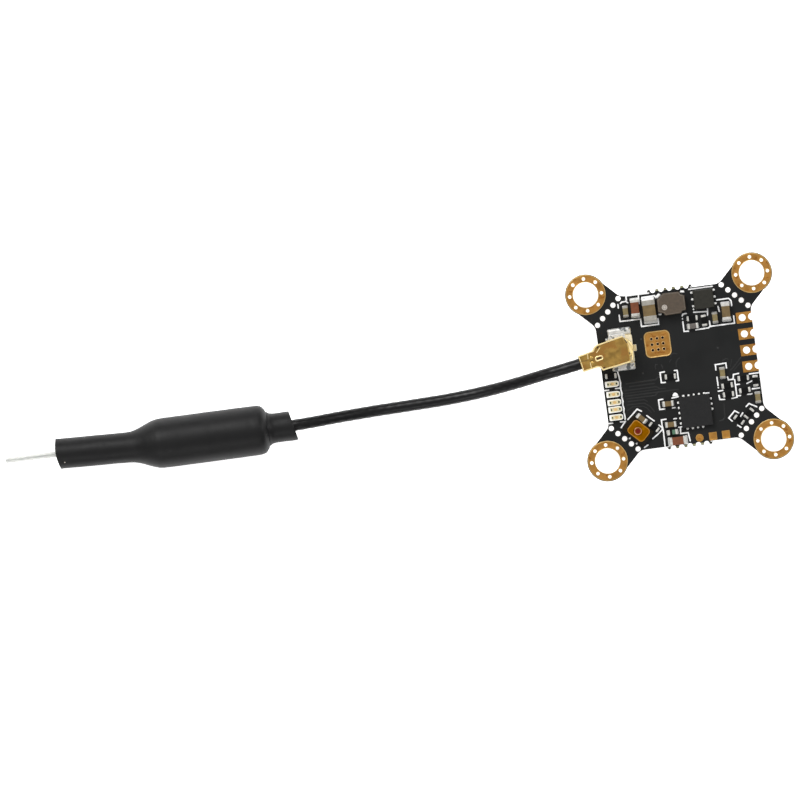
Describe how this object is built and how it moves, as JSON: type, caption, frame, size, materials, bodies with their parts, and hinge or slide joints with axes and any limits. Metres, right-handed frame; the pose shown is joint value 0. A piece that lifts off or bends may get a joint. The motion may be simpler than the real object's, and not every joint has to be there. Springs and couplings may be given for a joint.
{
  "type": "flight controller board",
  "caption": "Tiny four-eared black circuit board with a radio, a push button, indicator lights and a plug-in coaxial sleeve antenna.",
  "frame": {"origin": "centre of the four mounting holes, on the underside of their gold rings", "axes": "+Z out of the component side, +X towards the wire pads, +Y towards the power choke; the antenna leaves towards -X"},
  "size_m": [0.0751, 0.02, 0.0051],
  "materials": {
    "solder_mask": "black solder mask over fibreglass laminate, satin",
    "gold_pad": "immersion gold over copper, satin",
    "gold_plate": "thin gold plating, bright",
    "cream_plastic": "liquid crystal polymer",
    "white_plastic": "insulator plastic",
    "choke_body": "moulded ferrite powder, matte",
    "chip_package": "moulded epoxy, fine matte",
    "diode_body": "green and black moulding",
    "ceramic_tan": "tan ceramic with tinned ends",
    "ceramic_brown": "brown ceramic with tinned ends",
    "resistor_black": "black overglaze with tinned ends",
    "led_cream": "cream encapsulant",
    "button_black": "moulded plastic",
    "spring_steel": "snap dome",
    "key_red": "dark red key",
    "amber_film": "amber polyimide film",
    "tinned_steel": "tin-plated sheet, satin",
    "crystal_lid": "metal lid",
    "cable_jacket": "black coaxial jacket with the braid showing through",
    "heat_shrink": "black polyolefin heat-shrink, satin",
    "hot_melt": "adhesive lining",
    "brass_tube": "drawn brass tube",
    "clear_insulation": "translucent fluoropolymer",
    "silvered_wire": "silver-plated twisted strands"
  },
  "bodies": {
    "board": {"pcb": "solder_mask", "mounting_rings": "gold_pad", "wire_pads": "gold_pad", "thermal_pad": "gold_pad", "test_pads": "gold_pad", "corner_vias": "gold_pad", "socket_shell": "gold_plate", "socket_pin": "gold_plate", "socket_insulator": "cream_plastic", "power_inductor": "choke_body", "voltage_regulator": "chip_package", "microcontroller": "chip_package", "diode": "diode_body", "button_base": "button_black", "button_dome": "spring_steel", "button_film": "amber_film", "shield_can": "tinned_steel", "radio_chip": "chip_package", "power_amplifier": "chip_package", "crystal": "crystal_lid", "motion_sensor": "chip_package", "capacitor_1": "ceramic_tan", "capacitor_2": "ceramic_brown", "capacitor_3": "ceramic_tan", "capacitor_4": "ceramic_tan", "capacitor_5": "ceramic_tan", "capacitor_6": "ceramic_tan", "capacitor_7": "ceramic_tan", "capacitor_8": "ceramic_tan", "capacitor_9": "ceramic_tan", "capacitor_10": "ceramic_brown", "capacitor_11": "ceramic_tan", "capacitor_12": "ceramic_tan", "resistor_1": "resistor_black", "resistor_2": "resistor_black", "resistor_3": "resistor_black", "resistor_4": "resistor_black", "resistor_5": "resistor_black", "resistor_6": "resistor_black", "resistor_7": "resistor_black", "resistor_8": "resistor_black", "resistor_9": "resistor_black", "resistor_10": "resistor_black", "resistor_11": "resistor_black", "resistor_12": "resistor_black", "led_1": "led_cream", "led_2": "led_cream", "led_3": "led_cream", "led_4": "led_cream", "led_5": "led_cream"},
    "button": {"button_key": "key_red"},
    "plug_carrier": {"plug_insulator": "white_plastic", "plug_contact": "gold_plate"},
    "antenna": {"plug_shell": "gold_plate", "antenna_cable": "cable_jacket", "antenna_sleeve": "heat_shrink", "sleeve_adhesive": "hot_melt", "ground_tube": "brass_tube", "antenna_insulation": "clear_insulation", "antenna_wire": "silvered_wire"}
  },
  "joints": [
    {"name": "button_press", "type": "slide", "parent": "board", "child": "button", "axis": [0, 0, -1], "range_m": [0, 0.00015], "stiffness_N_per_m": 1000, "deforming": ["button_dome"]},
    {"name": "antenna_unplug", "type": "slide", "parent": "board", "child": "plug_carrier", "axis": [0, 0, 1], "range_m": [0, 0.003]},
    {"name": "antenna_swivel", "type": "hinge", "parent": "plug_carrier", "child": "antenna", "pos_m": [-0.00529, 0.0024, 0.003], "axis": [0, 0, 1], "range_deg": [-45, 45]}
  ]
}
